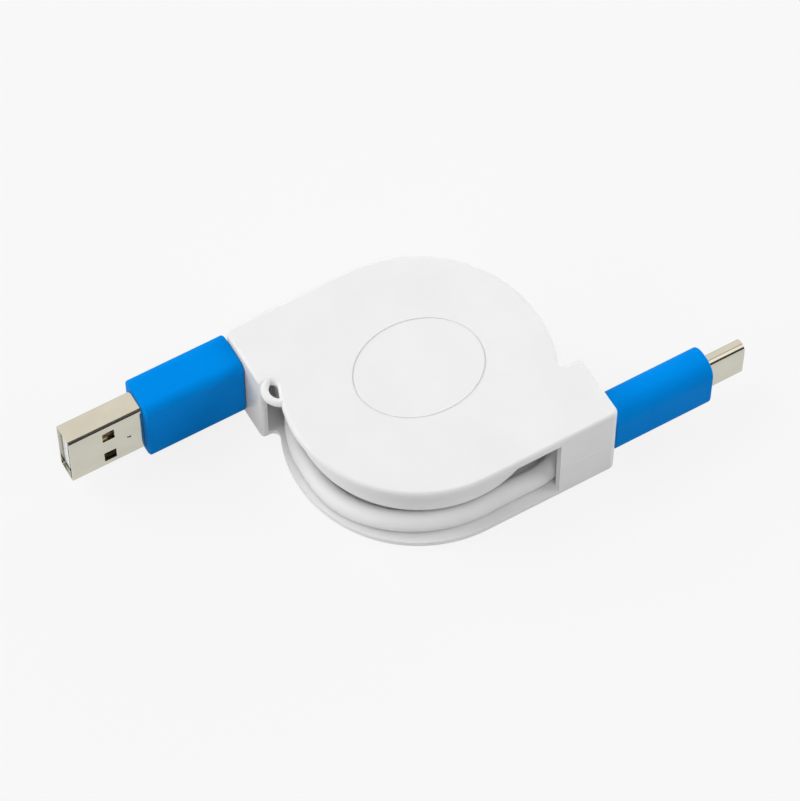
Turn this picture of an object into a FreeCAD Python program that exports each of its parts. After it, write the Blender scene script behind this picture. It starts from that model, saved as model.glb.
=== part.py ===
"""Retractable cable reel with a USB-A plug at -X and a USB-C plug at +X.

Millimetres. The origin is on the reel's axis at the underside of the case, +Z is up, and the two plugs
lie along X on opposite sides of the axis. The case nearly repeats itself after half a turn about Z: only the
two boxes' ends differ, and the loop is on the left.
"""
import FreeCAD
import Part
import Sketcher
import math
import os

from FreeCAD import Placement, Rotation, Vector

SIZES = {
    # case
    "case_radius": 22.9,
    "case_height": 17.3,
    "parting_height": 8.65,
    "plate": 1.5,
    "wall": 1.2,
    "box_width": 12.1,
    "box_start": 13.5,
    "a_lip": 1.4,
    "c_lip": 2.4,
    "inner_blend": 1.2,
    "corner_round": 1.3,
    "lip_round": 0.8,
    "edge_round": 0.65,
    "parting_edge": 0.3,
    "skirt_clearance": 1.3,
    "skirt_wall": 1.2,
    "post_angle": 40.0,
    "post_gap": 0.3,
    "post_radius": 1.5,
    "pin_radius": 0.85,
    "pin_length": 3.0,
    "pin_clearance": 0.08,
    "loop_angle": 157.1,
    "loop_sink": 0.3,
    "loop_ring": 2.55,
    "loop_inset": 0.05,
    "oval_long": 11.3,
    "oval_short": 9.3,
    "oval_x": 0.6,
    "oval_y": 0.7,
    "oval_turn": -4.0,
    "oval_groove": 0.3,
    "oval_depth": 0.2,
    # reel
    "spindle_radius": 3.0,
    "spindle_height": 8.3,
    "running_clearance": 0.05,
    "seat_radius": 5.0,
    "seat_rise": 0.15,
    "seat_gap": 0.05,
    "spool_radius": 18.3,
    "flange": 0.5,
    "hub_clearance": 0.2,
    "drum_wall": 1.1,
    "lid": 1.4,
    "lid_clearance": 0.8,
    "arbor_radius": 2.4,
    "arbor_clearance": 0.2,
    "arbor_slot": 0.45,
    "spring_turns": 8,
    "spring_strip": 0.25,
    "spring_gap": 0.05,
    "ball_radius": 0.75,
    "ball_clearance": 0.1,
    "track_inner": 10.6,
    "track_shift": 2.6,
    "track_depth": 0.7,
    "cage_depth": 0.5,
    # cable
    "cable_diameter": 3.5,
    "cable_pitch": 3.2,
    "coil_gap": 0.05,
    "lead_gap": 0.35,
    "lead_wrap": 100.0,
    "lead_clearance": 0.1,
    "take_off_radius": 14.0,
    # both plugs
    "plug_gap": 0.05,
    "nub_radius": 2.1,
    "nub_length": 1.75,
    "nub_clearance": 0.15,
    "grip_edge": 0.4,
    # USB-A plug
    "a_inset": 3.05,
    "a_width": 7.9,
    "a_height": 14.5,
    "a_corner": 1.7,
    "a_length": 18.05,
    "a_block_width": 5.3,
    "a_block_height": 12.6,
    "a_block_start": 2.6,
    "a_shell_width": 4.5,
    "a_shell_height": 12.0,
    "a_shell_corner": 0.8,
    "a_shell_wall": 0.3,
    "a_shell_reach": 13.45,
    "a_shell_hold": 6.2,
    "a_window_from_tip": 5.95,
    "a_window_long": 2.2,
    "a_window_tall": 2.5,
    "a_window_spread": 3.0,
    "a_dimple_from_grip": 2.7,
    "a_dimple_radius": 0.6,
    "a_dimple_depth": 0.27,
    "a_tongue": 1.9,
    "a_tongue_height": 10.6,
    "a_tongue_recess": 0.6,
    "a_core_reach": 1.0,
    "a_contact_width": 1.0,
    "a_contact": 0.25,
    "a_contact_inner": 1.0,
    "a_contact_outer": 3.5,
    "a_contact_recess": 1.2,
    "a_contact_step": 1.0,
    # USB-C plug
    "c_inset": 3.9,
    "c_width": 6.4,
    "c_height": 12.1,
    "c_corner": 2.9,
    "c_length": 18.65,
    "c_block_width": 4.4,
    "c_block_height": 9.4,
    "c_block_corner": 1.2,
    "c_block_start": 2.6,
    "c_board": 0.8,
    "c_board_height": 7.4,
    "c_board_length": 8.0,
    "c_shell_width": 2.5,
    "c_shell_height": 8.3,
    "c_shell_corner": 1.2,
    "c_shell_wall": 0.25,
    "c_shell_reach": 7.2,
    "c_shell_hold": 3.0,
    "c_core_recess": 0.3,
    "c_slot": 0.8,
    "c_slot_height": 6.9,
    "c_slot_depth": 5.6,
    "c_latch": 0.5,
    "c_latch_arm": 0.35,
    "c_contact_width": 0.26,
    "c_contact": 0.12,
    "c_contact_pitch": 0.5,
    "c_contact_length": 4.4,
    "c_contact_recess": 0.4,
}

CONTACTS_PER_ROW = 12
COIL_COLUMNS = 3
CROSSOVERS = 3

doc = FreeCAD.newDocument("reel")
sheet = doc.addObject("Spreadsheet::Sheet", "sizes")
for row, (alias, number) in enumerate(SIZES.items(), start=1):
    sheet.set(f"A{row}", alias)
    sheet.set(f"B{row}", str(number))
    sheet.setAlias(f"B{row}", alias)
doc.recompute()


class Size:
    """A length: its value, and the sheet expression that gives it."""

    def __init__(self, value, text):
        self.value = value
        self.text = text

    def __add__(self, other):
        other = as_size(other)
        return Size(self.value + other.value, f"({self.text} + {other.text})")

    def __sub__(self, other):
        other = as_size(other)
        return Size(self.value - other.value, f"({self.text} - {other.text})")

    def __mul__(self, other):
        other = as_size(other)
        return Size(self.value * other.value, f"({self.text} * {other.text})")

    def __truediv__(self, other):
        other = as_size(other)
        return Size(self.value / other.value, f"({self.text} / {other.text})")

    def __neg__(self):
        return Size(-self.value, f"(0 - {self.text})")

    def root(self):
        return Size(math.sqrt(self.value), f"sqrt({self.text})")

    def cosine(self):
        return Size(math.cos(math.radians(self.value)), f"cos({self.text} * 1 deg)")

    def sine(self):
        return Size(math.sin(math.radians(self.value)), f"sin({self.text} * 1 deg)")


def as_size(number):
    return number if isinstance(number, Size) else Size(float(number), repr(float(number)))


def size(alias):
    return Size(float(sheet.get(alias)), f"sizes.{alias}")


NIL = as_size(0)


def bind(thing, **sizes):
    """Tie properties of a document object to sheet expressions."""
    for name, length in sizes.items():
        thing.setExpression(name, length.text)
    return thing


def place(thing, x=NIL, y=NIL, z=NIL):
    """Tie an object's position to sheet expressions."""
    for axis, length in zip("xyz", (x, y, z)):
        thing.setExpression(f"Placement.Base.{axis}", length.text)
    return thing


def origin_part(body, role):
    """One of a body's own origin planes or axes."""
    return next(f for f in body.Origin.OriginFeatures if f.Role == role)


def attach(feature, body, plane, x=NIL, y=NIL, z=NIL):
    """Lay a feature on one of its body's origin planes, moved in that plane's own axes."""
    feature.AttachmentSupport = [(origin_part(body, plane), "")]
    feature.MapMode = "FlatFace"
    for axis, length in zip("xyz", (x, y, z)):
        feature.setExpression(f"AttachmentOffset.Base.{axis}", length.text)


class Drawing:
    """A sketch on one of a body's origin planes, lifted along that plane's normal."""

    def __init__(self, body, name, plane="XY_Plane", lift=NIL):
        self.sketch = body.newObject("Sketcher::SketchObject", name)
        attach(self.sketch, body, plane, z=lift)

    def limit(self, constraint, length):
        index = self.sketch.addConstraint(constraint)
        self.sketch.setExpression(f"Constraints[{index}]", length.text)

    def hold(self, edge, end, x, y):
        """Fix one point of an edge by its distances from the sketch's origin."""
        self.limit(Sketcher.Constraint("DistanceX", -1, 1, edge, end, x.value), x)
        self.limit(Sketcher.Constraint("DistanceY", -1, 1, edge, end, y.value), y)

    def circle(self, x, y, radius):
        shape = Part.Circle(Vector(x.value, y.value, 0), Vector(0, 0, 1), radius.value)
        edge = self.sketch.addGeometry(shape)
        self.hold(edge, 3, x, y)
        self.limit(Sketcher.Constraint("Radius", edge, radius.value), radius)
        return self

    def loop(self, corners):
        """Close a chain of corners. (x, y) is reached by a straight line, and (x, y, radius, turn) by an
        arc, counter-clockwise for a turn of 1, clockwise for -1, and the long way round for 2."""
        links = []
        for corner, before in zip(corners, corners[-1:] + corners[:-1]):
            start = Vector(before[0].value, before[1].value, 0)
            stop = Vector(corner[0].value, corner[1].value, 0)
            if len(corner) == 2:
                edge = self.sketch.addGeometry(Part.LineSegment(start, stop))
                links.append((edge, 1, 2))
                continue
            radius, turn = corner[2], corner[3]
            if turn < 0:
                start, stop = stop, start
            chord = stop - start
            rise = math.sqrt(max(radius.value**2 - chord.Length**2 / 4, 0))
            side = Vector(-chord.y, chord.x, 0).normalize() * (-rise if turn == 2 else rise)
            centre = (start + stop) / 2 + side
            ends = [math.atan2(point.y - centre.y, point.x - centre.x) for point in (start, stop)]
            ring = Part.Circle(centre, Vector(0, 0, 1), radius.value)
            edge = self.sketch.addGeometry(Part.ArcOfCircle(ring, *ends))
            self.limit(Sketcher.Constraint("Radius", edge, radius.value), radius)
            links.append((edge, 2, 1) if turn < 0 else (edge, 1, 2))
        for corner, link, after in zip(corners, links, links[1:] + links[:1]):
            self.sketch.addConstraint(Sketcher.Constraint("Coincident", link[0], link[2], after[0], after[1]))
            self.hold(link[0], link[2], corner[0], corner[1])
        return self

    def rectangle(self, left, bottom, right, top):
        return self.loop([(left, bottom), (right, bottom), (right, top), (left, top)])

    def rounded(self, x, y, width, height, radius):
        """A rectangle about (x, y) with round corners."""
        right, top = width / 2, height / 2
        return self.loop([
            (x + right - radius, y - top),
            (x + right, y - top + radius, radius, 1),
            (x + right, y + top - radius),
            (x + right - radius, y + top, radius, 1),
            (x - right + radius, y + top),
            (x - right, y + top - radius, radius, 1),
            (x - right, y - top + radius),
            (x - right + radius, y - top, radius, 1),
        ])


def new_body(name):
    body = doc.addObject("PartDesign::Body", f"{name}_body")
    body.Label = name
    return body


def pad(body, name, drawing, length, down=False):
    """Raise a sketch along its normal, or against it."""
    feature = body.newObject("PartDesign::Pad", name)
    feature.Profile = drawing.sketch
    feature.Reversed = down
    bind(feature, Length=length)
    doc.recompute()
    return feature


def pocket(body, name, drawing, length, up=False):
    """Cut a sketch against its normal, or along it, and see that it took material away."""
    before = body.Shape.Volume
    feature = body.newObject("PartDesign::Pocket", name)
    feature.Profile = drawing.sketch
    feature.Reversed = up
    bind(feature, Length=length)
    doc.recompute()
    if body.Shape.Volume >= before:
        raise RuntimeError(f"{name} cuts nothing")
    return feature


def revolve(body, name, drawing):
    feature = body.newObject("PartDesign::Revolution", name)
    feature.Profile = drawing.sketch
    feature.ReferenceAxis = (drawing.sketch, ["V_Axis"])
    feature.Angle = 360
    doc.recompute()
    return feature


def turn_copies(body, name, features, count):
    """Repeat features evenly about the reel's axis."""
    pattern = body.newObject("PartDesign::PolarPattern", name)
    pattern.Originals = features
    pattern.Axis = (origin_part(body, "Z_Axis"), [""])
    pattern.Angle = 360
    pattern.Occurrences = count
    body.Tip = pattern
    doc.recompute()
    return pattern


def round_edges(body, name, radius, wanted):
    """Fillet the edges of a body's last shape that a test picks."""
    base = body.Tip
    chosen = [f"Edge{i}" for i, edge in enumerate(base.Shape.Edges, start=1) if wanted(edge)]
    feature = body.newObject("PartDesign::Fillet", name)
    feature.Base = (base, chosen)
    bind(feature, Radius=radius)
    doc.recompute()
    return feature


def spans(edge, axis, low, high):
    """True where an edge lies between two heights on one axis."""
    box = edge.BoundBox
    least, most = getattr(box, f"{axis}Min"), getattr(box, f"{axis}Max")
    return least > low.value - 1e-4 and most < high.value + 1e-4


def boxes(name, blocks):
    """A group of separate blocks, each given by its lowest corner and its three lengths."""
    made = []
    for number, (x, y, z, length, width, height) in enumerate(blocks, start=1):
        block = doc.addObject("Part::Box", f"{name}_{number}")
        made.append(place(bind(block, Length=length, Width=width, Height=height), x, y, z))
    if len(made) == 1:
        made[0].Label = name
        return made[0]
    group = doc.addObject("Part::Compound", f"{name}_group")
    group.Links = made
    group.Label = name
    return group


# Places that several pieces share
case_radius = size("case_radius")
case_height = size("case_height")
parting = size("parting_height")
plate = size("plate")
wall = size("wall")
box_inside = case_radius - size("box_width")
ceiling = case_height - plate
blend = size("inner_blend")
blend_y = box_inside - blend
blend_x = ((case_radius + blend) * (case_radius + blend) - blend_y * blend_y).root()
a_end = blend_x + size("a_lip")
c_end = blend_x + size("c_lip")

spool_bottom = plate + size("seat_rise") + size("seat_gap")
winding_bottom = spool_bottom + size("flange")
cable_radius = size("cable_diameter") / 2
coil_low = winding_bottom + size("coil_gap") + cable_radius
coil_high = coil_low + size("cable_pitch")
winding_top = coil_high + cable_radius + size("coil_gap")
drum_floor = winding_top + size("flange")
lid_top = ceiling - size("lid_clearance")
lid_bottom = lid_top - size("lid")
drum_height = lid_bottom - drum_floor
track_floor = lid_top - size("track_depth")

rim = size("spool_radius")
last_turn = rim - cable_radius
first_turn = last_turn - size("cable_pitch") * (COIL_COLUMNS - 1)
hub = first_turn - cable_radius - size("hub_clearance")
lead_ring = rim + size("lead_gap") + cable_radius
skirt_inside = rim + size("skirt_clearance")
skirt_outside = skirt_inside + size("skirt_wall")
post_ring = skirt_outside + size("post_gap") + size("post_radius")

a_axis = case_radius - size("a_inset")
c_axis = case_radius - size("c_inset")
a_rear = a_end + size("plug_gap")
c_rear = c_end + size("plug_gap")
a_face = a_rear + size("a_length")
a_tip = a_face + size("a_shell_reach")
a_hold = a_face - size("a_shell_hold")
c_face = c_rear + size("c_length")
c_tip = c_face + size("c_shell_reach")
c_hold = c_face - size("c_shell_hold")
nub_end = c_rear - size("nub_length")
nub_hole = size("nub_radius") + size("nub_clearance")


def case_outline(drawing):
    """The case from above: a disc with two tangent corner boxes, each blended back into the disc."""
    touch = case_radius / (case_radius + blend)

    def half(end):
        return [
            (NIL, -case_radius, case_radius, 1),
            (end, -case_radius),
            (end, -box_inside),
            (blend_x, -box_inside),
            (blend_x * touch, -(blend_y * touch), blend, -1),
        ]
    other_half = [(-corner[0], -corner[1]) + corner[2:] for corner in half(a_end)]
    return drawing.loop(half(c_end) + other_half)


def box_wall(drawing, side, end):
    """A box's wall from above, on its outer side and its end. side is 1 for the right box and -1 for the
    left one."""
    start = size("box_start")
    corners = [
        (start, -case_radius),
        (end, -case_radius),
        (end, -box_inside),
        (end - wall, -box_inside),
        (end - wall, -(case_radius - wall)),
        (start, -(case_radius - wall)),
    ]
    return drawing.loop([(x * side, y * side) for x, y in corners])


def box_walls(body, low, height):
    pad(body, "box_c", box_wall(Drawing(body, "box_c_outline", lift=low), 1, c_end), height)
    pad(body, "box_a", box_wall(Drawing(body, "box_a_outline", lift=low), -1, a_end), height)


def snap_post(drawing, radius):
    """A round in the right box, where a pin of the top cover snaps into a post of the bottom one."""
    turn = size("post_angle")
    return drawing.circle(post_ring * turn.cosine(), -(post_ring * turn.sine()), radius)


def nub_holes(body):
    """Half of the hole through each box's end for a plug's strain relief."""
    depth = wall * 2 + size("nub_clearance")
    right = Drawing(body, "nub_hole_c", "YZ_Plane", c_end + wall)
    right.circle(-c_axis, parting, nub_hole)
    pocket(body, "nub_cut_c", right, depth)
    left = Drawing(body, "nub_hole_a", "YZ_Plane", -(a_end + wall))
    left.circle(a_axis, parting, nub_hole)
    pocket(body, "nub_cut_a", left, depth, up=True)


def from_end(edge):
    """How far an edge's middle lies inside the end of the box on its own side."""
    middle = edge.CenterOfMass.x
    return c_end.value - middle if middle > 0 else a_end.value + middle


def round_case(body, low, high, face):
    """Round the boxes' upright corners and the outline's edge on the outer face."""
    def upright(edge, beside):
        straight_up = edge.BoundBox.ZLength > 1 and edge.BoundBox.XLength < 1e-3
        off_side = abs(abs(edge.CenterOfMass.y) - beside.value)
        at_corner = abs(from_end(edge)) < 1e-3 and off_side < 1e-3
        return straight_up and at_corner and spans(edge, "Z", low, high)
    round_edges(body, "round_corners", size("corner_round"), lambda edge: upright(edge, case_radius))
    round_edges(body, "round_lips", size("lip_round"), lambda edge: upright(edge, box_inside))
    round_edges(body, "round_outline", size("edge_round"), lambda edge: spans(edge, "Z", face, face))


def round_parting(body):
    """Round the walls' outer edge where the lower cover meets the upper one."""
    def outer(edge):
        beside = abs(edge.CenterOfMass.y)
        depth = min(from_end(edge), case_radius.value - beside, beside - box_inside.value)
        return spans(edge, "Z", parting, parting) and depth < wall.value / 2 - 1e-3
    round_edges(body, "round_parting", size("parting_edge"), outer)


def make_bottom_cover():
    body = new_body("bottom_cover")
    pad(body, "floor", case_outline(Drawing(body, "floor_outline")), plate)
    box_walls(body, NIL, parting)
    post = pad(body, "post", snap_post(Drawing(body, "post_outline"), size("post_radius")), parting)
    socket_radius = size("pin_radius") + size("pin_clearance")
    socket_outline = snap_post(Drawing(body, "socket_outline", lift=parting), socket_radius)
    socket = pocket(body, "socket", socket_outline, size("pin_length") + plate / 2)
    turn_copies(body, "both_posts", [post, socket], 2)
    round_case(body, NIL, parting, NIL)
    round_parting(body)
    seat = Drawing(body, "seat_outline").circle(NIL, NIL, size("seat_radius"))
    pad(body, "seat", seat, plate + size("seat_rise"))
    spindle = Drawing(body, "spindle_outline").circle(NIL, NIL, size("spindle_radius"))
    pad(body, "spindle", spindle, size("spindle_height"))
    hole_radius = spigot_radius() + size("pin_clearance")
    hole = Drawing(body, "spigot_hole", lift=size("spindle_height")).circle(NIL, NIL, hole_radius)
    pocket(body, "spigot_cut", hole, size("pin_length") + plate / 2)
    nub_holes(body)
    return body


def spigot_radius():
    return size("arbor_radius") / 2


def make_top_cover():
    body = new_body("top_cover_shell")
    pad(body, "roof", case_outline(Drawing(body, "roof_outline", lift=ceiling)), plate)
    box_walls(body, parting, case_height - parting)
    post_outline = snap_post(Drawing(body, "post_outline", lift=parting), size("post_radius"))
    post = pad(body, "post", post_outline, ceiling - parting)
    pin_outline = snap_post(Drawing(body, "pin_outline", lift=parting), size("pin_radius"))
    pin = pad(body, "pin", pin_outline, size("pin_length"), down=True)
    turn_copies(body, "both_posts", [post, pin], 2)
    round_case(body, parting, case_height, case_height)
    skirt = Drawing(body, "skirt_outline", lift=parting)
    skirt.circle(NIL, NIL, skirt_inside)
    skirt.circle(NIL, NIL, skirt_outside)
    pad(body, "skirt", skirt, ceiling - parting)
    arbor_bottom = size("spindle_height") + size("pin_clearance")
    arbor = Drawing(body, "arbor_outline", lift=ceiling).circle(NIL, NIL, size("arbor_radius"))
    pad(body, "arbor", arbor, ceiling - arbor_bottom, down=True)
    spigot = Drawing(body, "spigot_outline", lift=arbor_bottom).circle(NIL, NIL, spigot_radius())
    pad(body, "spigot", spigot, size("pin_length"), down=True)
    slot = Drawing(body, "arbor_slot_outline", lift=drum_floor)
    half_slot = size("arbor_slot") / 2
    slot.rectangle(-spigot_radius(), -half_slot, size("arbor_radius") + wall, half_slot)
    pocket(body, "arbor_slot", slot, drum_height, up=True)
    cage = Drawing(body, "cage_outline", lift=ceiling)
    cage_half = size("ball_radius") + size("ball_clearance")
    cage_far = size("track_inner") + size("track_shift") + cage_half
    cage.rectangle(size("track_inner") - cage_half, -cage_half, cage_far, cage_half)
    pocket(body, "cage", cage, size("cage_depth"), up=True)
    nub_holes(body)
    loop = body.newObject("PartDesign::AdditiveTorus", "loop")
    bind(loop, Radius1=size("loop_ring"), Radius2=plate / 2 - size("loop_inset"))
    loop_out = case_radius - size("loop_sink")
    loop_turn = size("loop_angle")
    loop_x = loop_out * loop_turn.cosine()
    attach(loop, body, "XY_Plane", loop_x, loop_out * loop_turn.sine(), ceiling + plate / 2)
    doc.recompute()

    groove = doc.addObject("Part::Cut", "oval_groove")
    groove.Base = make_oval("oval_outer", NIL)
    groove.Tool = make_oval("oval_inner", size("oval_groove"))
    cover = doc.addObject("Part::Cut", "top_cover_cut")
    cover.Base = body
    cover.Tool = groove
    cover.Label = "top_cover"
    return cover


def make_oval(name, inward):
    """An oval prism that stands in the roof's upper face, drawn in from the oval's outer rim."""
    ellipse = bind(doc.addObject("Part::Ellipse", f"{name}_rim"), MajorRadius=size("oval_long") - inward,
                   MinorRadius=size("oval_short") - inward)
    ellipse.Placement = Placement(Vector(), Rotation(Vector(0, 0, 1), size("oval_turn").value))
    place(ellipse, size("oval_x"), size("oval_y"), case_height - size("oval_depth"))
    oval = doc.addObject("Part::Extrusion", name)
    oval.Base = ellipse
    oval.DirMode = "Custom"
    oval.Dir = Vector(0, 0, 1)
    oval.Solid = True
    return bind(oval, LengthFwd=plate)


def make_spool():
    """Turned section of the spool: flange, hub, flange and the cup that holds the spring."""
    body = new_body("spool")
    bore = size("spindle_radius") + size("running_clearance")
    drum = rim - size("drum_wall")
    section = Drawing(body, "section", "XZ_Plane").loop([
        (bore, spool_bottom),
        (rim, spool_bottom),
        (rim, winding_bottom),
        (hub, winding_bottom),
        (hub, winding_top),
        (rim, winding_top),
        (rim, lid_bottom),
        (drum, lid_bottom),
        (drum, drum_floor),
        (bore, drum_floor),
    ])
    revolve(body, "turned", section)
    return body


def make_spring_cover():
    """Lid of the spring drum, with two ring tracks and the cross-overs that the lock ball runs in."""
    body = new_body("spring_cover")
    disc = Drawing(body, "disc_outline", lift=lid_bottom)
    disc.circle(NIL, NIL, rim)
    disc.circle(NIL, NIL, size("arbor_radius") + size("arbor_clearance"))
    pad(body, "disc", disc, size("lid"))
    half = size("ball_radius") + size("ball_clearance")
    inner = size("track_inner")
    outer = inner + size("track_shift")
    for name, middle in (("inner_track", inner), ("outer_track", outer)):
        ring = Drawing(body, f"{name}_outline", lift=lid_top)
        ring.circle(NIL, NIL, middle + half)
        ring.circle(NIL, NIL, middle - half)
        pocket(body, name, ring, size("track_depth"))
    gate = Drawing(body, "crossover_outline", lift=lid_top).rectangle(inner, -half, outer, half)
    crossover = pocket(body, "crossover", gate, size("track_depth"))
    turn_copies(body, "crossovers", [crossover], CROSSOVERS)
    return body


def make_mainspring():
    """Flat spiral of half circles, closing in by half a pitch each, with a tab in the arbor's slot."""
    half_strip = size("spring_strip").value / 2
    gap = size("spring_gap").value
    outer = rim.value - size("drum_wall").value - half_strip - gap
    inner = size("arbor_radius").value + half_strip + gap
    halves = 2 * int(size("spring_turns").value)
    step = (outer - inner) / (halves + 1)
    bottom = drum_floor.value + gap
    edges = []
    ends = []
    for offset in (half_strip, -half_strip):
        chain = []
        radius = outer + offset
        centre_x = 0.0
        for number in range(halves):
            side = 1 if number % 2 == 0 else -1
            start = Vector(centre_x + side * radius, 0, bottom)
            top = Vector(centre_x, side * radius, bottom)
            stop = Vector(centre_x - side * radius, 0, bottom)
            chain.append(Part.Arc(start, top, stop).toShape())
            centre_x -= side * step
            radius -= step
        edges += chain
        ends.append((chain[0].Vertexes[0].Point, stop))
    caps = [Part.LineSegment(ends[0][i], ends[1][i]).toShape() for i in (0, 1)]
    outline = Part.Wire(Part.__sortEdges__(edges + caps))
    height = drum_height.value - 2 * gap
    strip = Part.Face(outline).extrude(Vector(0, 0, height))
    tab_start = ends[1][1].x + half_strip
    tab = Part.makeBox(tab_start, 2 * half_strip, height, Vector(0, -half_strip, bottom))
    spring = doc.addObject("Part::Feature", "mainspring_strip")
    spring.Shape = strip.fuse(tab).removeSplitter()
    spring.Label = "mainspring"
    return spring


def make_lock_ball():
    ball = bind(doc.addObject("Part::Sphere", "ball"), Radius=size("ball_radius"))
    place(ball, size("track_inner"), NIL, track_floor + size("ball_radius") + size("running_clearance"))
    ball.Label = "lock_ball"
    return ball


def sweep_cable(name, edges, normal):
    """A round cable along an arc-and-line route, with its volume compared with section times length."""
    route = doc.addObject("Part::Feature", f"{name}_route")
    route.Shape = Part.Wire(edges)
    section = bind(doc.addObject("Part::Circle", f"{name}_section"), Radius=cable_radius)
    section.Placement = Placement(edges[0].Vertexes[0].Point, Rotation(Vector(0, 0, 1), normal))
    sweep = doc.addObject("Part::Sweep", f"{name}_sweep")
    sweep.Sections = [section]
    sweep.Spine = (route, [f"Edge{i}" for i in range(1, len(edges) + 1)])
    sweep.Solid = True
    sweep.Label = name
    doc.recompute()
    expected = route.Shape.Length * math.pi * cable_radius.value**2
    if abs(sweep.Shape.Volume / expected - 1) > 0.01:
        raise RuntimeError(f"{name}: volume {sweep.Shape.Volume:.1f}, expected {expected:.1f}")
    print(f"{name}: {route.Shape.Length:.1f} mm of cable")
    return sweep


def on_ring(angle, radius, height, centre=Vector()):
    """A point at an angle in degrees on a level ring."""
    turn = math.radians(angle)
    return Vector(centre.x + radius * math.cos(turn), centre.y + radius * math.sin(turn), height)


def round_corner(corner, before, after, length):
    """The arc that rounds a corner between two directions, starting a given length before it."""
    half = before.getAngle(after) / 2
    radius = length / math.tan(half)
    inward = (after - before).normalize()
    crown = corner + inward * (radius / math.cos(half) - radius)
    print(f"bend of {radius:.1f} mm")
    return Part.Arc(corner - before * length, crown, corner + after * length).toShape()


def make_lead(name, side, axis):
    """The outermost turn of the cable: from the plug's nub down an S-bend, out of the box past the end of
    its wall, and round the disc. side is 1 for the right box and -1 for the left one."""
    level = coil_low.value
    radius = lead_ring.value
    start = Vector(nub_end.value, -axis.value, parting.value)
    past_wall = case_radius - wall - cable_radius - size("lead_clearance")
    low_corner = Vector(size("box_start").value, -past_wall.value, level)
    meet = -math.acos(radius / math.hypot(low_corner.x, low_corner.y))
    meet += math.atan2(low_corner.y, low_corner.x)
    touch = math.degrees(meet)
    run = start.x - low_corner.x
    drop_squared = (start.y - low_corner.y) ** 2 + (start.z - low_corner.z) ** 2
    # each bend takes half of the slope, whose length is twice the run before the upper corner
    upper_run = (4 * run - math.sqrt(4 * run**2 + 3 * drop_squared)) / 3
    high_corner = Vector(low_corner.x + upper_run, start.y, start.z)
    inward = Vector(-1, 0, 0)
    down = (low_corner - high_corner).normalize()
    tangent = on_ring(touch, radius, level)
    level_run = (tangent - low_corner).normalize()
    reach_back = start.x - high_corner.x
    high_bend = round_corner(high_corner, inward, down, reach_back)
    low_bend = round_corner(low_corner, down, level_run, reach_back)
    end = -90 - size("lead_wrap").value
    edges = [
        high_bend,
        low_bend,
        Part.LineSegment(low_corner + level_run * reach_back, tangent).toShape(),
        Part.Arc(tangent, on_ring((touch + end) / 2, radius, level), on_ring(end, radius, level)).toShape(),
    ]
    if side < 0:
        for edge in edges:
            edge.rotate(Vector(), Vector(0, 0, 1), 180)
    return sweep_cable(name, edges, inward * side)


def make_cable_coil():
    """Section of the turns pressed together, turned about the axis, with the two ends that leave them."""
    body = new_body("cable_turns")
    pitch = size("cable_pitch")
    notch = (cable_radius * cable_radius - pitch * pitch / 4).root()
    half = pitch / 2
    outline = [(first_turn - notch, coil_low + half, cable_radius, 2)]
    outline += [(first_turn + half, coil_low - notch, cable_radius, 2)]
    for column in range(1, COIL_COLUMNS - 1):
        outline += [(first_turn + pitch * column + half, coil_low - notch, cable_radius, 1)]
    outline += [(last_turn + notch, coil_low + half, cable_radius, 2)]
    outline += [(last_turn - half, coil_high + notch, cable_radius, 2)]
    for column in range(COIL_COLUMNS - 2, 0, -1):
        outline += [(first_turn + pitch * column - half, coil_high + notch, cable_radius, 1)]
    revolve(body, "turns", Drawing(body, "turns_section", "XZ_Plane").loop(outline))

    wrap = -90 - size("lead_wrap").value
    radius = size("take_off_radius").value
    level = coil_low.value
    centre_out = lead_ring.value - radius
    landing = (last_turn.value**2 - centre_out**2 - radius**2) / (2 * centre_out * radius)
    turn = math.degrees(math.acos(landing))
    centre = on_ring(wrap, centre_out, 0)
    points = [on_ring(wrap - turn * share, radius, level, centre) for share in (0, 0.5, 1)]
    pieces = [body]
    for name, half_turn in (("take_off_c", 0), ("take_off_a", 180)):
        edge = Part.Arc(*points).toShape()
        edge.rotate(Vector(), Vector(0, 0, 1), half_turn)
        heading = edge.tangentAt(edge.FirstParameter)
        pieces.append(sweep_cable(name, [edge], heading))
    coil = doc.addObject("Part::MultiFuse", "cable_coil_fuse")
    coil.Shapes = pieces
    coil.Label = "cable_coil"
    return coil


def make_grip(name, side, axis, section, rear, front, block, block_start, shell, hold):
    """A blue overmould: a rounded prism with a strain-relief nub at the rear, hollow for the block inside
    and open at the front for the shell. section, block and shell are (width, height, corner)."""
    body = new_body(name)
    across = -axis * side
    inward = side < 0
    prism = Drawing(body, "prism_outline", "YZ_Plane", rear * side).rounded(across, parting, *section)
    pad(body, "prism", prism, front - rear, down=inward)

    def at_end(edge):
        return any(spans(edge, "X", end * side, end * side) for end in (rear, front))
    round_edges(body, "round_ends", size("grip_edge"), at_end)
    nub = Drawing(body, "nub_outline", "YZ_Plane", rear * side).circle(across, parting, size("nub_radius"))
    pad(body, "nub", nub, rear - nub_end, down=not inward)
    mouth = Drawing(body, "mouth_outline", "YZ_Plane", front * side).rounded(across, parting, *shell)
    pocket(body, "mouth", mouth, front - hold, up=inward)
    cavity = Drawing(body, "cavity_outline", "YZ_Plane", hold * side).rounded(across, parting, *block)
    pocket(body, "cavity", cavity, hold - block_start, up=inward)
    return body


def make_prism(name, side, axis, start, stop, section, bore=None):
    """A rounded prism or tube along a plug's axis, between two distances from the reel's axis."""
    body = new_body(name)
    across = -axis * side
    outline = Drawing(body, "outline", "YZ_Plane", start * side).rounded(across, parting, *section)
    if bore:
        outline.rounded(across, parting, *bore)
    pad(body, "prism", outline, stop - start, down=side < 0)
    return body


def inset(section, skin):
    """A rounded section drawn in by a wall."""
    width, height, corner = section
    return (width - skin * 2, height - skin * 2, corner - skin)


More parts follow.
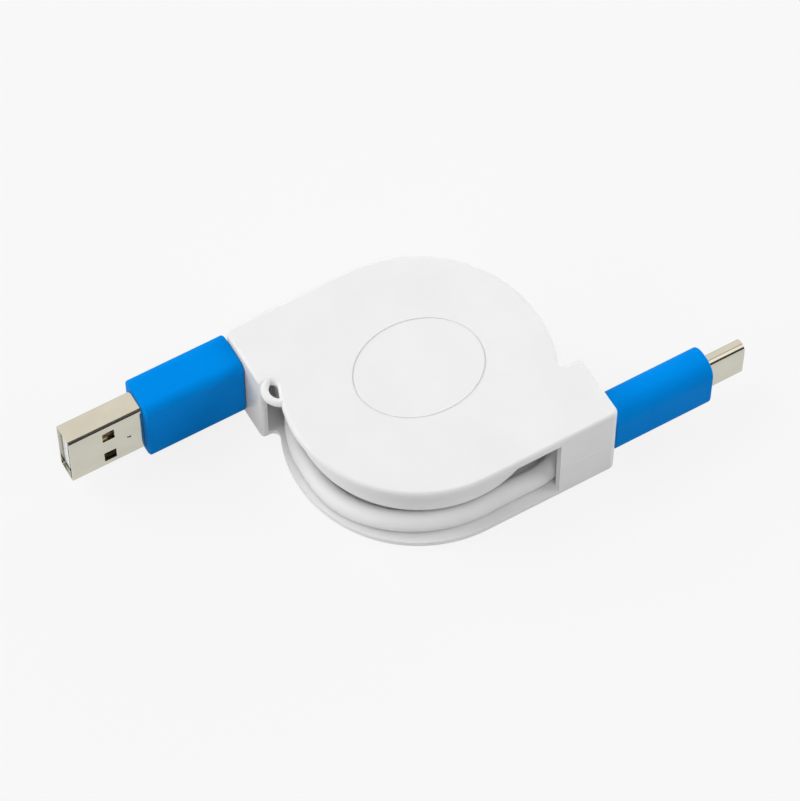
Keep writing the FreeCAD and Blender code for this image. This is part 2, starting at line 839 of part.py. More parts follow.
def make_usb_a():
    axis = a_axis
    shell = (size("a_shell_width"), size("a_shell_height"), size("a_shell_corner"))
    bore = inset(shell, size("a_shell_wall"))
    block = (size("a_block_width"), size("a_block_height"), size("a_shell_corner"))
    block_start = a_rear + size("a_block_start")
    section = (size("a_width"), size("a_height"), size("a_corner"))
    nodes = [
        make_grip("usb_a_overmould", -1, axis, section, a_rear, a_face, block, block_start, shell, a_hold),
        make_prism("usb_a_inner_mould", -1, axis, block_start, a_hold, block),
    ]

    tube = make_prism("usb_a_shell", -1, axis, a_hold, a_tip, shell, bore)
    window_far = -(a_tip - size("a_window_from_tip"))
    spread = size("a_window_spread")
    half_window = size("a_window_tall") / 2
    outside = -(axis + size("a_shell_width"))
    windows = Drawing(tube, "window_outline", "XZ_Plane", outside)
    for middle in (parting - spread, parting + spread):
        windows.rectangle(window_far, middle - half_window, window_far + size("a_window_long"),
                          middle + half_window)
    pocket(tube, "windows", windows, size("a_shell_width") * 2, up=True)
    dimple = tube.newObject("PartDesign::SubtractiveSphere", "dimple")
    bind(dimple, Radius=size("a_dimple_radius"))
    dent = axis - size("a_shell_width") / 2 + size("a_dimple_depth") - size("a_dimple_radius")
    attach(dimple, tube, "XY_Plane", -(a_face + size("a_dimple_from_grip")), dent, parting)
    doc.recompute()
    nodes.append(tube)

    core_front = a_face + size("a_core_reach")
    carrier = make_prism("usb_a_insulator", -1, axis, a_hold, core_front, bore)
    tongue = Drawing(carrier, "tongue_outline", "YZ_Plane", -core_front)
    half_tongue = size("a_tongue_height") / 2
    tongue.rectangle(axis, parting - half_tongue, axis + size("a_tongue"), parting + half_tongue)
    pad(carrier, "tongue", tongue, a_tip - size("a_tongue_recess") - core_front, down=True)
    nodes.append(carrier)

    strips = []
    inner = size("a_contact_inner")
    outer = size("a_contact_outer")
    step = size("a_contact_step")
    for place_z, recess in ((-outer, NIL), (-inner, step), (inner, step), (outer, NIL)):
        far = a_tip - size("a_tongue_recess") - size("a_contact_recess") - recess
        low = parting + place_z - size("a_contact_width") / 2
        strips.append((-far, axis - size("a_contact"), low, far - core_front, size("a_contact"),
                       size("a_contact_width")))
    nodes.append(boxes("usb_a_contacts", strips))
    return nodes


def make_usb_c():
    axis = c_axis
    shell = (size("c_shell_width"), size("c_shell_height"), size("c_shell_corner"))
    bore = inset(shell, size("c_shell_wall"))
    block = (size("c_block_width"), size("c_block_height"), size("c_block_corner"))
    block_start = c_rear + size("c_block_start")
    section = (size("c_width"), size("c_height"), size("c_corner"))
    nodes = [
        make_grip("usb_c_overmould", 1, axis, section, c_rear, c_face, block, block_start, shell, c_hold),
        make_prism("usb_c_shell", 1, axis, c_hold, c_tip, shell, bore),
    ]

    mould = make_prism("usb_c_inner_mould", 1, axis, block_start, c_hold, block)
    board_start = c_hold - size("c_board_length")
    half_board = size("c_board") / 2
    board_low = parting - size("c_board_height") / 2
    slit = Drawing(mould, "slit_outline", "YZ_Plane", c_hold)
    slit.rectangle(-axis - half_board, board_low, -axis + half_board, parting + size("c_board_height") / 2)
    pocket(mould, "slit", slit, size("c_board_length"))
    nodes.append(mould)
    nodes.append(boxes("usb_c_paddle_board", [(board_start, -axis - half_board, board_low,
                                               size("c_board_length"), size("c_board"),
                                               size("c_board_height"))]))

    core_front = c_tip - size("c_core_recess")
    slot_floor = core_front - size("c_slot_depth")
    half_slot = size("c_slot") / 2
    slot_end = size("c_slot_height") / 2
    carrier = make_prism("usb_c_insulator", 1, axis, c_hold, core_front, bore)
    slot = Drawing(carrier, "slot_outline", "YZ_Plane", core_front)
    slot.rectangle(-axis - half_slot, parting - slot_end, -axis + half_slot, parting + slot_end)
    pocket(carrier, "slot", slot, size("c_slot_depth"))
    nodes.append(carrier)

    latch = new_body("usb_c_latch_plate")
    half_latch = size("c_latch") / 2
    arm = size("c_latch_arm")
    arm_tip = core_front - size("c_contact_recess")
    fork = Drawing(latch, "fork_outline", "XZ_Plane", axis - half_latch)
    fork.loop([
        (slot_floor, parting - slot_end),
        (arm_tip, parting - slot_end),
        (arm_tip, parting - slot_end + arm),
        (slot_floor + arm, parting - slot_end + arm),
        (slot_floor + arm, parting + slot_end - arm),
        (arm_tip, parting + slot_end - arm),
        (arm_tip, parting + slot_end),
        (slot_floor, parting + slot_end),
    ])
    pad(latch, "fork", fork, size("c_latch"))
    nodes.append(latch)

    strips = []
    thick = size("c_contact")
    strip_start = core_front - size("c_contact_recess") - size("c_contact_length")
    for wall_y in (-axis - half_slot, -axis + half_slot - thick):
        for number in range(CONTACTS_PER_ROW):
            middle = size("c_contact_pitch") * (number - (CONTACTS_PER_ROW - 1) / 2)
            width = size("c_contact_width")
            low = parting + middle - width / 2
            strips.append((strip_start, wall_y, low, size("c_contact_length"), thick, width))
    nodes.append(boxes("usb_c_contacts", strips))
    return nodes


nodes = [
    make_bottom_cover(),
    make_top_cover(),
    make_spool(),
    make_spring_cover(),
    make_mainspring(),
    make_lock_ball(),
    make_cable_coil(),
    make_lead("cable_lead_c", 1, c_axis),
    make_lead("cable_lead_a", -1, a_axis),
]
nodes += make_usb_a()
nodes += make_usb_c()
doc.recompute()

for thing in doc.Objects:
    if {"Invalid", "Error"} & set(thing.State):
        raise RuntimeError(f"{thing.Label}: {thing.State}")
for node in nodes:
    if node.Shape.isNull() or not node.Shape.isValid():
        raise RuntimeError(f"{node.Label}: no valid shape")

os.makedirs("parts", exist_ok=True)
for node in nodes:
    node.Shape.exportStep(f"parts/{node.Label}.step")
    print(f"{node.Label}: {len(node.Shape.Solids)} solid(s), {node.Shape.Volume:.1f} mm3")
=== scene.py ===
"""Looks of a retractable charging cable: white reel case, blue plug grips, nickel plug shells.

Metres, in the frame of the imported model: the reel's axis is Z and the two plugs lie along X.
"""
import math

import bpy
import numpy as np
from mathutils import Matrix, Vector


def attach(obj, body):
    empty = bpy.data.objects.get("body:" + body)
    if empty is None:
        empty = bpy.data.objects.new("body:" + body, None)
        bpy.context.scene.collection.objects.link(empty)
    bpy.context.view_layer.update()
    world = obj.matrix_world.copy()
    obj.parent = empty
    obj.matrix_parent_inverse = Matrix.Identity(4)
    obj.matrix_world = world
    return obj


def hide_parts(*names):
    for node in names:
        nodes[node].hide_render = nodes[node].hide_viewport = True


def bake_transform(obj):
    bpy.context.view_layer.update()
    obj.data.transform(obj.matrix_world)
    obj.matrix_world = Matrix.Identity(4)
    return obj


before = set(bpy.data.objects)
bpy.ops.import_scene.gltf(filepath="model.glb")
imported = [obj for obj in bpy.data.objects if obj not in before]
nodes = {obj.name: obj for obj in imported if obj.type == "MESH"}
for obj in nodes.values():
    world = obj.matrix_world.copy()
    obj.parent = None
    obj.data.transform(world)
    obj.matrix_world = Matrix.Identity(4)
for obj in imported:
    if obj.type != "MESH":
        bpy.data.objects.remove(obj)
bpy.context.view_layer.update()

MM = 0.001

# The photograph's camera, fitted to the corners of the case and the plugs
IMAGE_SIDE = 801
FOCAL_PIXELS = 4083.955
CAMERA_AZIMUTH = math.radians(-29.739)
CAMERA_ELEVATION = math.radians(58.772)
CAMERA_ROLL = math.radians(-0.148)
CAMERA_DISTANCE = 678.551 * MM
CAMERA_SLIDE = -2.986 * MM
CAMERA_LIFT = 4.413 * MM
SENSOR = 36.0
NEAREST_SEEN = 0.01
FARTHEST_SEEN = 50.0

# The cable's round jacket, in millimetres: full, pressed by its neighbours on the spool, and at a lead's end
CABLE_RADIUS = 1.75
PRESSED_RADIUS = 1.6
PRESS_MARGIN = 0.3
JOIN_RADIUS = 1.6
JOIN_LENGTH = 1.6
LEAD_SIDES = 28
TURN_SIDES = 24
SPLINE_STEPS = 10
SHARP_EDGE = math.radians(50)

# A lead from the right plug's nub to the reel, in millimetres and degrees. The left one lies half a turn on
RIGHT = 1.0
LEFT = -1.0
A_AXIS = 19.85
C_AXIS = 19.0
PLUG_LEVEL = 8.65
NUB_END = 22.8
NUB_STEP = 0.7
NUB_POINTS = 3
BOX_BEND = 19.4
BOX_INSIDE = (16.7, -18.1, 5.6)
WALL_END = 13.5
WALL_RUN = 19.85
WALL_LEVEL = 3.5
STRAIGHT_LEVEL = 4.6
LEAD_LEVEL = 4.0
LEAD_RING = 20.4
LEAD_TOUCH = -87.6
LEAD_END = -190.0
# round the disc: the angle between control points, how far they stand out, and their heights and radii
RING_STEP = 20.0
HALF_STEP = math.radians(RING_STEP / 2)
RING_SWELL = 1 / math.cos(HALF_STEP)
RING_LEVELS = (4.7, 4.5, 4.0, 3.6, 4.0)
RING_RADII = (20.4, 20.4, 20.6, 20.9, 20.4)

# The turns on the spool, in millimetres and in degrees travelled from the lead's end
FULL_TURN = 360.0
TURN_COUNT = 3
TURN_PITCH = 3.2
OUTER_TURN = 16.55
UPPER_LEVEL = 7.2
JOIN_ANGLE = 6.0
INWARD_START = 20.0
INWARD_RUN = 64.0
FIRST_TURN = 80.0
STEP_IN = 60.0
CLIMB_SHARE = 0.88
CLIMB_RUN = 48.0
SETTLE_START = 65.0
SETTLE_RUN = 30.0

# Noise of the finishes: the part of its range that it keeps to, and its scales in waves per metre
NOISE_LOW = 0.3
NOISE_HIGH = 0.7
MOTTLE_SCALE = 90.0
BOARD_MOTTLE_SCALE = 700.0
RUB_SCALE = 9000.0
RUB_DRAWN_OUT = (0.04, 1.0, 1.0)
HAZE_SCALE = 260.0

# The room: an even soft light. Mirrors show it warm and white, but dark ahead of the object, with one light
# panel on the right and a dark strip over it
ROOM_SOFT = 0.04
ROOM_MIRRORED = 1.12
ROOM_WARM = (1.0, 0.945, 0.905)
AHEAD = (-0.30, -0.95, 0.0)
AHEAD_DARK = 0.07
PANEL_LIGHT = 1.5
STRIP_SHADE = 0.6
# each from nothing to full: the dark and the strip's two sides in how far a mirrored ray points ahead, the
# panel's foot in the ray's height, and its left end in the ray's X
AHEAD_RISE = (0.03, 0.15)
STRIP_NEAR = (0.13, 0.06)
STRIP_FAR = (-0.14, -0.07)
PANEL_LOW = (0.52, 0.58)
PANEL_LEFT = (0.22, 0.29)

# The floor, just under the case
FLOOR_REACH = 3.0
FLOOR_GAP = 0.0001
FLOOR_COLOUR = 0.7
FLOOR_ROUGHNESS = 0.9
FLOOR_GLOW = 0.98
FLOOR_GLOW_SHARE = 0.85

# Lamps: name, power, spread in degrees, direction towards the lamp
LAMPS = (
    ("key", 2.1, 60, (-0.60, 0.50, 0.60)),
    ("over_left", 0.80, 20, (-0.10, -0.42, 0.90)),
    ("right", 0.90, 35, (0.75, -0.48, 0.50)),
    ("left_low", 0.48, 25, (-0.90, -0.10, 0.42)),
    ("back_right", 0.60, 60, (0.65, 0.60, 0.30)),
    ("far_right", 1.20, 40, (1.0, 0.25, 0.15)),
)


# Camera


def add_camera():
    """Stand the camera off along the photograph's line of sight, turned by its roll."""
    back = Vector((math.sin(CAMERA_AZIMUTH) * math.cos(CAMERA_ELEVATION),
                   -math.cos(CAMERA_AZIMUTH) * math.cos(CAMERA_ELEVATION),
                   math.sin(CAMERA_ELEVATION)))
    level = Vector((math.cos(CAMERA_AZIMUTH), math.sin(CAMERA_AZIMUTH), 0))
    rise = back.cross(level)
    right = level * math.cos(CAMERA_ROLL) + rise * math.sin(CAMERA_ROLL)
    upward = rise * math.cos(CAMERA_ROLL) - level * math.sin(CAMERA_ROLL)
    place = back * CAMERA_DISTANCE + right * CAMERA_SLIDE + upward * CAMERA_LIFT
    camera = bpy.data.objects.new("camera", bpy.data.cameras.new("camera"))
    camera.data.sensor_width = SENSOR
    camera.data.lens = FOCAL_PIXELS / IMAGE_SIDE * SENSOR
    camera.data.clip_start = NEAREST_SEEN
    camera.data.clip_end = FARTHEST_SEEN
    camera.matrix_world = Matrix.Translation(place) @ Matrix((right, upward, back)).transposed().to_4x4()
    bpy.context.scene.collection.objects.link(camera)
    bpy.context.scene.camera = camera


# Lines of the cable


def smooth_line(points):
    """Points along the quadratic spline whose control points are given, as Blender evaluates it."""
    curve = bpy.data.curves.new("route", "CURVE")
    curve.dimensions = "3D"
    curve.resolution_u = SPLINE_STEPS
    spline = curve.splines.new("NURBS")
    spline.points.add(len(points) - 1)
    spline.points.foreach_set("co", np.column_stack([points, np.ones(len(points))]).ravel())
    spline.order_u = 3
    spline.use_endpoint_u = True
    holder = bpy.data.objects.new("route", curve)
    mesh = bpy.data.meshes.new_from_object(holder)
    line = np.empty(3 * len(mesh.vertices))
    mesh.vertices.foreach_get("co", line)
    bpy.data.objects.remove(holder)
    bpy.data.curves.remove(curve)
    bpy.data.meshes.remove(mesh)
    return line.reshape(-1, 3)


def length_along(line):
    """Length travelled at each point of a line: the sum of the steps before it."""
    return np.concatenate([[0], np.cumsum(np.linalg.norm(np.diff(line, axis=0), axis=1))])


def ring_points(angles, radius, height):
    """Control points at angles in degrees about the reel's axis: (r cos a, r sin a, h)."""
    turn = np.radians(angles)
    return np.column_stack([radius * np.cos(turn), radius * np.sin(turn), height * np.ones_like(turn)])


def put_on(side, points):
    """Points of the right side as they are, or half a turn on about the reel's axis for the left side."""
    return points * np.array([side, side, 1.0])


def ease(share):
    """Smooth step from 0 to 1: 3 t^2 - 2 t^3 with t held between 0 and 1."""
    held = np.clip(share, 0, 1)
    return held * held * (3 - 2 * held)


def lead_line(axis):
    """Spline of one lead for the right box: straight out of the nub, down the S-bend in the box, past the
    wall and round the disc."""
    nub = np.array([[NUB_END - NUB_STEP * step, -axis, PLUG_LEVEL] for step in range(NUB_POINTS)])
    bend = np.array([[BOX_BEND, -axis, PLUG_LEVEL], BOX_INSIDE])
    past_wall = np.array([[WALL_END, -WALL_RUN, WALL_LEVEL]])
    touch = ring_points(np.array([LEAD_TOUCH]), LEAD_RING, WALL_LEVEL)
    back = (past_wall - touch) / np.linalg.norm(past_wall - touch)
    straight = touch + back * LEAD_RING * math.tan(HALF_STEP)
    straight[0, 2] = STRAIGHT_LEVEL
    angles = LEAD_TOUCH - RING_STEP * (np.arange(len(RING_RADII)) + 0.5)
    round_disc = ring_points(angles, np.array(RING_RADII) * RING_SWELL, np.array(RING_LEVELS))
    end = ring_points(np.array([LEAD_END]), LEAD_RING, LEAD_LEVEL)
    return smooth_line(np.concatenate([nub, bend, past_wall, straight, round_disc, end]))


def wound_line(top_level):
    """Spline of the turns that one half of the cable makes on the spool, over the angle travelled from the
    lead's end. The radius eases from the lead's ring to the outermost turn, keeps each turn's value for most
    of the turn, and eases in by a pitch before the next. The height eases from the lead's to the layer's."""
    travelled = np.arange(0, FIRST_TURN + FULL_TURN * TURN_COUNT + RING_STEP / 2, RING_STEP)
    travelled = np.insert(travelled, 0, -JOIN_ANGLE)
    inward = ease((travelled - INWARD_START) / INWARD_RUN)
    turn_ends = FIRST_TURN + FULL_TURN * np.arange(1, TURN_COUNT)
    steps = ease((travelled[:, None] - turn_ends[None] + STEP_IN) / STEP_IN).sum(axis=1)
    radius = LEAD_RING - (LEAD_RING - OUTER_TURN) * inward - TURN_PITCH * steps
    climb = CLIMB_SHARE * ease(travelled / CLIMB_RUN)
    settle = (1 - CLIMB_SHARE) * ease((travelled - SETTLE_START) / SETTLE_RUN)
    height = LEAD_LEVEL + (top_level - LEAD_LEVEL) * (climb + settle)
    swell = np.full_like(radius, RING_SWELL)
    swell[0] = 1
    return smooth_line(ring_points(LEAD_END - travelled, radius * swell, height))


def pressed(line):
    """Radius along a wound line: full where it leaves the lead, a little less where the turns press."""
    away = np.linalg.norm(line[:, :2], axis=1)
    inner = OUTER_TURN + PRESS_MARGIN
    return PRESSED_RADIUS + (CABLE_RADIUS - PRESSED_RADIUS) * ease((away - inner) / (LEAD_RING - inner))


def dipping(line):
    """Radius along a lead: full, but for its last stretch, which dips into the turn that carries it on."""
    gone = length_along(line)
    return JOIN_RADIUS + (CABLE_RADIUS - JOIN_RADIUS) * ease((gone[-1] - gone) / JOIN_LENGTH)


# Tubes along those lines


def tube_rings(line, radius, sides):
    """A round tube: at each point of a line, a circle of the given radius in the plane across the line.
    The circle is spanned by the level vector across the line and by the one square to both."""
    ahead = np.gradient(line, axis=0)
    ahead /= np.linalg.norm(ahead, axis=1, keepdims=True)
    across = np.cross(ahead, [0.0, 0.0, 1.0])
    across /= np.linalg.norm(across, axis=1, keepdims=True)
    rise = np.cross(across, ahead)
    turn = np.linspace(0, 2 * np.pi, sides, endpoint=False)
    reach = np.broadcast_to(radius, len(line))[:, None, None]
    circle = across[:, None] * np.cos(turn)[None, :, None] + rise[:, None] * np.sin(turn)[None, :, None]
    return line[:, None] + circle * reach


def tube_faces(rows, sides, start):
    """Faces of a closed tube, as rows of point numbers from start on: quads between the neighbours of a rows
    by sides grid that wraps round, and one flat face over each end."""
    row, column = np.meshgrid(np.arange(rows - 1), np.arange(sides), indexing="ij")
    after = (column + 1) % sides
    quads = np.stack([(row + 1) * sides + column, (row + 1) * sides + after,
                      row * sides + after, row * sides + column], axis=-1).reshape(-1, 4)
    first = np.arange(sides)[::-1]
    last = (rows - 1) * sides + np.arange(sides)
    return (start + quads).tolist() + [(start + first).tolist(), (start + last).tolist()]


def tube_piece(name, tubes, material, sides):
    """One mesh of round tubes, each a (line, radius) in millimetres, with flat closed ends. Its UV map runs
    along the tube in u and round it in v."""
    points, faces, lengths, rounds = [], [], [], []
    start = 0
    for line, radius in tubes:
        points.append(tube_rings(line, radius, sides).reshape(-1, 3))
        faces += tube_faces(len(line), sides, start)
        lengths.append(np.repeat(length_along(line), sides))
        rounds.append(np.tile(np.arange(sides) / sides, len(line)))
        start += len(line) * sides
    mesh = bpy.data.meshes.new(name)
    mesh.from_pydata((np.concatenate(points) * MM).tolist(), [], faces)
    corner = np.empty(len(mesh.loops), dtype=np.int32)
    mesh.loops.foreach_get("vertex_index", corner)
    layer = mesh.uv_layers.new(name="along")
    chart = np.column_stack([np.concatenate(lengths)[corner] * MM, np.concatenate(rounds)[corner]])
    layer.uv.foreach_set("vector", chart.ravel())
    mesh.polygons.foreach_set("use_smooth", np.ones(len(mesh.polygons), dtype=bool))
    mesh.set_sharp_from_angle(angle=SHARP_EDGE)
    mesh.materials.append(material)
    piece = bpy.data.objects.new(name, mesh)
    bpy.context.scene.collection.objects.link(piece)
    return piece


def add_cable():
    """The cable's jacket: one lead from each plug's nub round the disc, and the turns on the spool."""
    leads = (("lead_c", C_AXIS, RIGHT, "usb_c_plug"), ("lead_a", A_AXIS, LEFT, "usb_a_plug"))
    for name, axis, side, body in leads:
        line = put_on(side, lead_line(axis))
        piece = tube_piece(name, [(line, dipping(line))], white_cable, LEAD_SIDES)
        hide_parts(f"cable_{name}")
        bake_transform(piece)
    lower = put_on(RIGHT, wound_line(LEAD_LEVEL))
    upper = put_on(LEFT, wound_line(UPPER_LEVEL))
    layers = [(lower, pressed(lower)), (upper, pressed(upper))]
    turns = tube_piece("wound_turns", layers, white_cable, TURN_SIDES)
    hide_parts("cable_coil")
    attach(turns, "spool")


# Shader nodes


def add_node(tree, kind, settings=None, **values):
    """A node with its options set, and its inputs set or linked. In an input's name an underscore stands for
    a space, and an underscore with a number is the input of that number."""
    node = tree.nodes.new(kind)
    for key, value in (settings or {}).items():
        setattr(node, key, value)
    for key, value in values.items():
        socket = node.inputs[int(key[1:])] if key[1:].isdigit() else node.inputs[key.replace("_", " ")]
        if isinstance(value, bpy.types.NodeSocket):
            tree.links.new(value, socket)
        else:
            socket.default_value = value
    return node


def combine(tree, operation, first, second):
    """One number from two, by the named operation."""
    return add_node(tree, "ShaderNodeMath", {"operation": operation}, _0=first, _1=second).outputs[0]


def blend_values(tree, factor, first, second):
    """The first number where the factor is 0, the second where it is 1."""
    node = add_node(tree, "ShaderNodeMix", {"data_type": "FLOAT"}, _0=factor, _2=first, _3=second)
    return node.outputs[0]


def blend_colours(tree, factor, first, second):
    """The first colour where the factor is 0, the second where it is 1."""
    node = add_node(tree, "ShaderNodeMix", {"data_type": "RGBA"}, _0=factor, _6=first, _7=second)
    return node.outputs[2]


def rise_between(tree, value, ends):
    """Smooth step of a value from 0 at the first end to 1 at the second."""
    node = add_node(tree, "ShaderNodeMapRange", {"interpolation_type": "SMOOTHSTEP"}, Value=value,
                    From_Min=ends[0], From_Max=ends[1])
    return node.outputs["Result"]


def span(tree, value, low, high):
    """Spread a noise value, which keeps to the middle of its range, between two numbers."""
    node = add_node(tree, "ShaderNodeMapRange", Value=value, From_Min=NOISE_LOW, From_Max=NOISE_HIGH,
                    To_Min=low, To_Max=high)
    return node.outputs["Result"]


def add_noise(tree, where, scale, detail, roughness):
    """Noise at a place, with its waves per metre, the number of finer layers and how strong they are."""
    node = add_node(tree, "ShaderNodeTexNoise", Vector=where, Scale=scale, Detail=detail,
                    Roughness=roughness)
    return node.outputs["Fac"]


# Finishes


def new_group(name, inputs, outputs):
    """An empty shader node group that takes and gives the named numbers."""
    group = bpy.data.node_groups.new(name, "ShaderNodeTree")
    for label in inputs:
        group.interface.new_socket(name=label, in_out="INPUT", socket_type="NodeSocketFloat")
    for label in outputs:
        group.interface.new_socket(name=label, in_out="OUTPUT", socket_type="NodeSocketFloat")
    source = group.nodes.new("NodeGroupInput")
    target = group.nodes.new("NodeGroupOutput")
    return group, source.outputs, target.inputs


def make_moulded_grain():
    """Skin of a moulded part. Fine is the close noise of the mould's surface, and Mottle a slow one, about a
    centimetre from patch to patch, that shades and dulls it."""
    group, given, result = new_group("moulded_grain", ("Grain Scale", "Mottle Scale"), ("Fine", "Mottle"))
    where = add_node(group, "ShaderNodeTexCoord").outputs["Object"]
    group.links.new(add_noise(group, where, given["Grain Scale"], 3.0, 0.6), result["Fine"])
    group.links.new(add_noise(group, where, given["Mottle Scale"], 2.0, 0.5), result["Mottle"])
    return group


def make_rubbed_metal():
    """Handling marks on plated metal. Lines is noise drawn out along X, so it reads as fine rub marks, and
    Haze is a slow noise where the plating is duller."""
    group, given, result = new_group("rubbed_metal", ("Line Scale", "Haze Scale"), ("Lines", "Haze"))
    where = add_node(group, "ShaderNodeTexCoord").outputs["Object"]
    drawn = add_node(group, "ShaderNodeMapping", Vector=where, Scale=RUB_DRAWN_OUT).outputs["Vector"]
    group.links.new(add_noise(group, drawn, given["Line Scale"], 4.0, 0.65), result["Lines"])
    group.links.new(add_noise(group, where, given["Haze Scale"], 2.0, 0.5), result["Haze"])
    return group


def new_material(name):
    """A material with nodes, its node tree and its shader."""
    material = bpy.data.materials.new(name)
    material.use_nodes = True
    return material, material.node_tree, material.node_tree.nodes["Principled BSDF"]


def add_bump(tree, shader, height, depth):
    """Raise and sink the surface by a value, as deep as is given in millimetres."""
    bump = add_node(tree, "ShaderNodeBump", Strength=1.0, Distance=depth * MM, Height=height)
    tree.links.new(bump.outputs["Normal"], shader.inputs["Normal"])


def moulded(name, colour, shade, gloss, grain, mottle_scale=MOTTLE_SCALE, specular=0.5, bounce=None):
    """Moulded plastic or soft jacket: two close colours and two roughnesses mixed by the slow mottle, and a
    bump from the fine grain, given as its scale and depth. A bounce colour, where given, is what the pieces
    beside it receive from it."""
    material, tree, shader = new_material(name)
    grain_scale, grain_depth = grain
    skin = add_node(tree, "ShaderNodeGroup", {"node_tree": moulded_grain}, Grain_Scale=grain_scale,
                    Mottle_Scale=mottle_scale).outputs
    mottle = span(tree, skin["Mottle"], 0.0, 1.0)
    base = blend_colours(tree, mottle, (*colour, 1), (*shade, 1))
    if bounce:
        path = add_node(tree, "ShaderNodeLightPath").outputs
        base = blend_colours(tree, path["Is Diffuse Ray"], base, (*bounce, 1))
    tree.links.new(base, shader.inputs["Base Color"])
    tree.links.new(span(tree, skin["Mottle"], *gloss), shader.inputs["Roughness"])
    add_bump(tree, shader, skin["Fine"], grain_depth)
    shader.inputs["Specular IOR Level"].default_value = specular
    return material


def plated(name, colour, shade, gloss, line_depth):
    """Plated or drawn metal: two close colours mixed by the haze, with roughness and bump from the rub
    marks."""
    material, tree, shader = new_material(name)
    skin = add_node(tree, "ShaderNodeGroup", {"node_tree": rubbed_metal}, Line_Scale=RUB_SCALE,
                    Haze_Scale=HAZE_SCALE).outputs
    haze = span(tree, skin["Haze"], 0.0, 1.0)
    tree.links.new(blend_colours(tree, haze, (*colour, 1), (*shade, 1)), shader.inputs["Base Color"])
    tree.links.new(span(tree, skin["Lines"], *gloss), shader.inputs["Roughness"])
    add_bump(tree, shader, skin["Lines"], line_depth)
    shader.inputs["Metallic"].default_value = 1.0
    return material


def dress(material, *names):
    """Give the solids of these names one material."""
    for name in names:
        mesh = nodes[name].data
        mesh.materials.clear()
        mesh.materials.append(material)


# Floor, room and lamps


def add_floor():
    """A wide pale floor. The camera and mirrors see mostly its own even light, so it stays near white, and
    the rest of it takes the object's shadow."""
    quarters = ((-1, -1), (1, -1), (1, 1), (-1, 1))
    corners = [(x * FLOOR_REACH, y * FLOOR_REACH, -FLOOR_GAP) for x, y in quarters]
    mesh = bpy.data.meshes.new("floor")
    mesh.from_pydata(corners, [], [(0, 1, 2, 3)])
    floor = bpy.data.objects.new("floor", mesh)
    bpy.context.scene.collection.objects.link(floor)
    material, tree, shader = new_material("pale_floor")
    shader.inputs["Base Color"].default_value = (FLOOR_COLOUR, FLOOR_COLOUR, FLOOR_COLOUR, 1)
    shader.inputs["Roughness"].default_value = FLOOR_ROUGHNESS
    shader.inputs["Specular IOR Level"].default_value = 0.0
    glow = add_node(tree, "ShaderNodeEmission", Color=(FLOOR_GLOW, FLOOR_GLOW, FLOOR_GLOW, 1), Strength=1.0)
    path = add_node(tree, "ShaderNodeLightPath").outputs
    seen = combine(tree, "MAXIMUM", path["Is Camera Ray"], path["Is Glossy Ray"])
    clear = combine(tree, "MAXIMUM", seen, path["Is Transmission Ray"])
    share = combine(tree, "MULTIPLY", clear, FLOOR_GLOW_SHARE)
    mixed = add_node(tree, "ShaderNodeMixShader", Fac=share, _1=shader.outputs[0], _2=glow.outputs[0])
    tree.links.new(mixed.outputs[0], tree.nodes["Material Output"].inputs["Surface"])
    mesh.materials.append(material)


def mirrored_room(tree):
    """Strength of the room in a mirrored ray's direction: full, but dark ahead of the object. On the right a
    light panel stands in the dark, with a dark strip over it."""
    ray = add_node(tree, "ShaderNodeTexCoord").outputs["Generated"]
    parts = add_node(tree, "ShaderNodeSeparateXYZ", Vector=ray).outputs
    facing = add_node(tree, "ShaderNodeVectorMath", {"operation": "DOT_PRODUCT"}, _0=ray,
                      _1=Vector(AHEAD).normalized()).outputs["Value"]
    on_right = rise_between(tree, parts["X"], PANEL_LEFT)
    panel = combine(tree, "MULTIPLY", rise_between(tree, parts["Z"], PANEL_LOW), on_right)
    in_front = blend_values(tree, panel, AHEAD_DARK, PANEL_LIGHT)
    room = blend_values(tree, rise_between(tree, facing, AHEAD_RISE), ROOM_MIRRORED, in_front)
    near_side = rise_between(tree, facing, STRIP_NEAR)
    far_side = rise_between(tree, facing, STRIP_FAR)
    overhead = combine(tree, "MULTIPLY", near_side, far_side)
    strip = combine(tree, "MULTIPLY", combine(tree, "MULTIPLY", overhead, on_right), STRIP_SHADE)
    return blend_values(tree, strip, room, AHEAD_DARK)


def add_room():
    """A room of even soft light. Mirrors see it as the mirrored room, and the camera as plain white."""
    world = bpy.data.worlds.new("studio")
    bpy.context.scene.world = world
    world.use_nodes = True
    tree = world.node_tree
    path = add_node(tree, "ShaderNodeLightPath").outputs
    mirrors = combine(tree, "MAXIMUM", path["Is Glossy Ray"], path["Is Transmission Ray"])
    lit = blend_values(tree, mirrors, ROOM_SOFT, mirrored_room(tree))
    room = tree.nodes["Background"]
    tree.links.new(blend_colours(tree, mirrors, (1, 1, 1, 1), (*ROOM_WARM, 1)), room.inputs["Color"])
    tree.links.new(blend_values(tree, path["Is Camera Ray"], lit, 1.0), room.inputs["Strength"])


def add_lamps():
    """Soft lamps so far off that each shines in one direction. Mirrors don't show them."""
    for name, power, spread, towards in LAMPS:
        lamp = bpy.data.lights.new(name, "SUN")
        lamp.energy = power
        lamp.angle = math.radians(spread)
        light = bpy.data.objects.new(name, lamp)
        light.rotation_mode = "QUATERNION"
        light.rotation_quaternion = Vector(towards).to_track_quat("Z", "Y")
        light.visible_glossy = False
        bpy.context.scene.collection.objects.link(light)


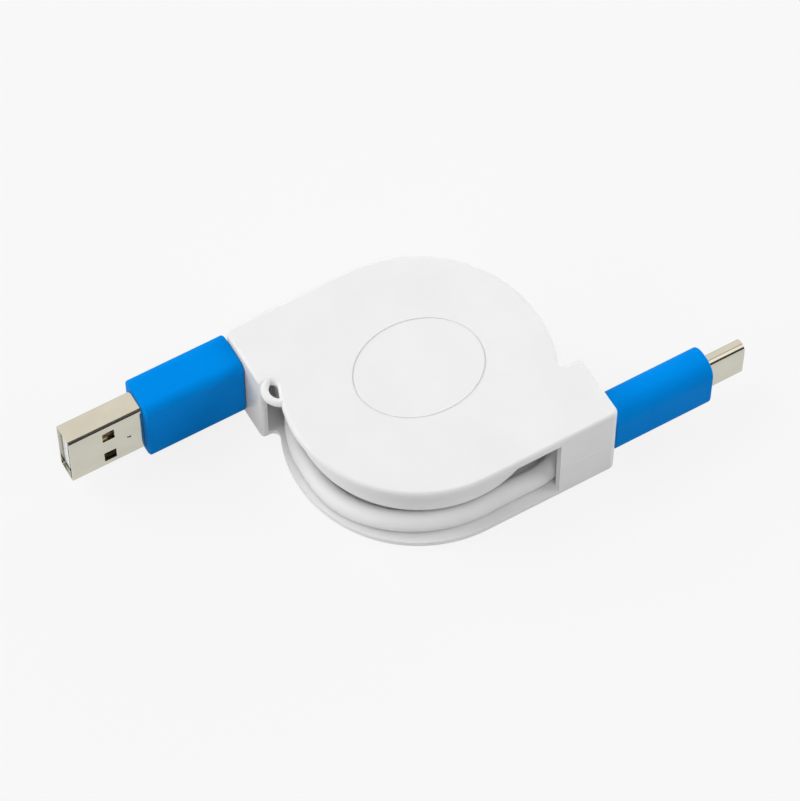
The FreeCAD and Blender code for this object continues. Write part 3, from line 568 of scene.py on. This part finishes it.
# Materials: colour, shade, roughness from and to, and the grain's scale and depth or the rub marks' depth
moulded_grain = make_moulded_grain()
rubbed_metal = make_rubbed_metal()
white_case = moulded("white_case", (0.86, 0.86, 0.86), (0.83, 0.83, 0.835), (0.32, 0.42), (4200.0, 0.004))
reel_plastic = moulded("reel_plastic", (0.83, 0.83, 0.83), (0.79, 0.79, 0.79), (0.45, 0.6), (3000.0, 0.006))
white_cable = moulded("white_cable", (0.85, 0.85, 0.85), (0.82, 0.82, 0.825), (0.42, 0.55), (2600.0, 0.006))
blue_grip = moulded("blue_grip", (0.0, 0.265, 0.82), (0.0, 0.245, 0.77), (0.45, 0.58), (5200.0, 0.006),
                    specular=0.015, bounce=(0.24, 0.24, 0.26))
inner_mould = moulded("inner_mould", (0.76, 0.75, 0.71), (0.70, 0.69, 0.65), (0.5, 0.65), (2400.0, 0.01))
white_insulator = moulded("white_insulator", (0.85, 0.85, 0.84), (0.80, 0.80, 0.79), (0.4, 0.55),
                          (3200.0, 0.005))
black_insulator = moulded("black_insulator", (0.03, 0.03, 0.032), (0.045, 0.045, 0.047), (0.35, 0.5),
                          (3200.0, 0.005))
circuit_board = moulded("circuit_board", (0.03, 0.16, 0.08), (0.04, 0.20, 0.10), (0.3, 0.45), (1500.0, 0.01),
                        mottle_scale=BOARD_MOTTLE_SCALE)
nickel_shell = plated("nickel_shell", (0.605, 0.595, 0.505), (0.57, 0.555, 0.465), (0.08, 0.17), 0.0012)
gold_contacts = plated("gold_contacts", (0.83, 0.60, 0.22), (0.76, 0.52, 0.17), (0.15, 0.32), 0.001)
spring_steel = plated("spring_steel", (0.56, 0.56, 0.57), (0.48, 0.48, 0.50), (0.2, 0.4), 0.002)

# Which solid wears which
dress(white_case, "bottom_cover", "top_cover")
dress(reel_plastic, "spool", "spring_cover")
dress(white_cable, "cable_lead_a", "cable_lead_c", "cable_coil")
dress(blue_grip, "usb_a_overmould", "usb_c_overmould")
dress(inner_mould, "usb_a_inner_mould", "usb_c_inner_mould")
dress(white_insulator, "usb_a_insulator")
dress(black_insulator, "usb_c_insulator")
dress(circuit_board, "usb_c_paddle_board")
dress(nickel_shell, "usb_a_shell", "usb_c_shell", "usb_c_latch_plate")
dress(gold_contacts, "usb_a_contacts", "usb_c_contacts")
dress(spring_steel, "mainspring", "lock_ball")

add_camera()
add_cable()
add_floor()
add_room()
add_lamps()

bpy.context.scene.view_settings.view_transform = "Standard"
